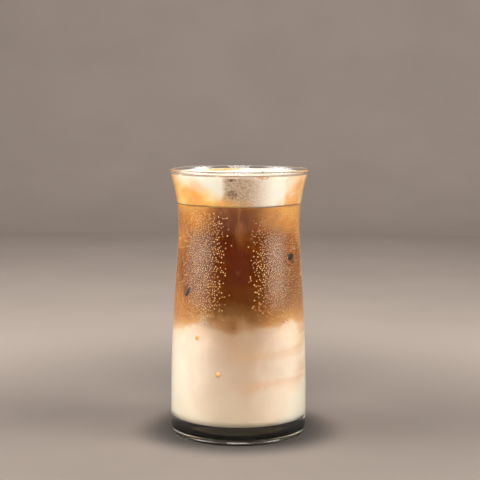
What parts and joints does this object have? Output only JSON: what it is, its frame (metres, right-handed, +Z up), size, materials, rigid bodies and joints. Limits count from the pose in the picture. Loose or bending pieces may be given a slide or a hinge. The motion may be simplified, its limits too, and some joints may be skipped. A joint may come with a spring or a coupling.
{
  "type": "latte in a glass tumbler",
  "caption": "Layered cold latte in a clear waisted tumbler with a flared rim and thick base: milk below, a mixed band, coffee above and a cap of foam.",
  "frame": {"origin": "centre of the glass's underside, on the surface it stands on", "axes": "+Z up along the glass's axis; -Y is the front, towards the viewer; +X to the viewer's right"},
  "size_m": [0.073, 0.073, 0.14],
  "materials": {
    "glass": "clear and polished, misted with small beads of water outside",
    "milk": "opaque cream-white liquid",
    "blend": "cloudy beige liquid with soft level streaks",
    "coffee": "deep amber-brown liquid, lighter towards the wall",
    "foam": "dense fine-bubbled milk foam with faint coffee stains"
  },
  "bodies": {
    "root": {"glass": "glass", "milk": "milk", "blend": "blend", "coffee": "coffee", "foam": "foam"}
  },
  "joints": []
}
